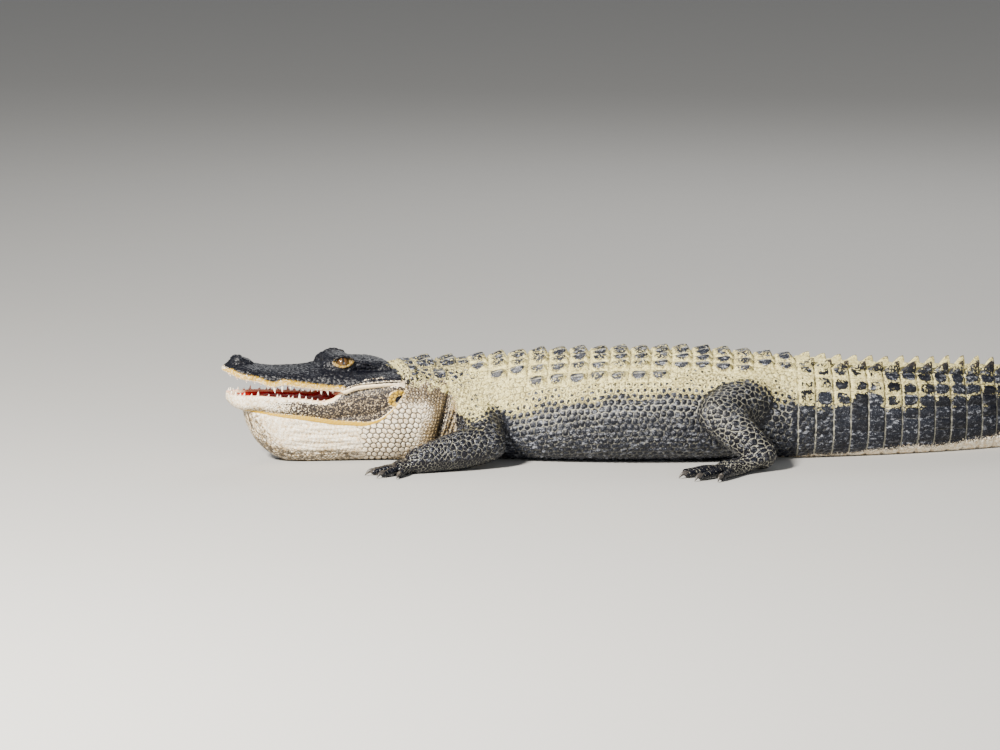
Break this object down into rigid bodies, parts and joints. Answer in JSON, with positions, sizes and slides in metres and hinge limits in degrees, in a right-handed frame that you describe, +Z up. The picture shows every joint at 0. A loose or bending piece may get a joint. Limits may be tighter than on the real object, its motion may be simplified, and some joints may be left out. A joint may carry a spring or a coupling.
{
  "type": "american alligator",
  "caption": "Life-size still model of an adult american alligator resting on its belly with its mouth open, head turned slightly and tail swung aside.",
  "frame": {"origin": "on the floor plane under the middle of the belly, on the flat that the belly rests on", "axes": "+X runs along the trunk towards the tail, +Y to the animal's right, +Z up; the head points to -X"},
  "size_m": [2.3018, 0.7436, 0.2054],
  "materials": {
    "head_hide": "scaly hide, satin where wet, dull where dried mud covers it",
    "jaw_hide": "scaly hide, satin where wet, dull where dried mud covers it",
    "back_hide": "scaly hide, satin where wet, dull where dried mud covers it",
    "leg_hide": "scaly hide, satin where wet, dull where dried mud covers it",
    "mouth": "wet, deep red lining of the mouth",
    "eye": "wet, glossy eyeball with a brown-gold iris"
  },
  "bodies": {
    "root": {"head": "head_hide", "lower_jaw": "jaw_hide", "tongue": "mouth", "eye_left": "eye", "eye_right": "eye", "neck": "back_hide", "torso": "back_hide", "tail_base": "back_hide", "tail_middle": "back_hide", "tail_end": "back_hide", "foreleg_left_upper": "leg_hide", "foreleg_left_lower": "leg_hide", "forefoot_left": "leg_hide", "foreleg_right_upper": "leg_hide", "foreleg_right_lower": "leg_hide", "forefoot_right": "leg_hide", "hindleg_left_upper": "leg_hide", "hindleg_left_lower": "leg_hide", "hindfoot_left": "leg_hide", "hindleg_right_upper": "leg_hide", "hindleg_right_lower": "leg_hide", "hindfoot_right": "leg_hide"}
  },
  "joints": []
}
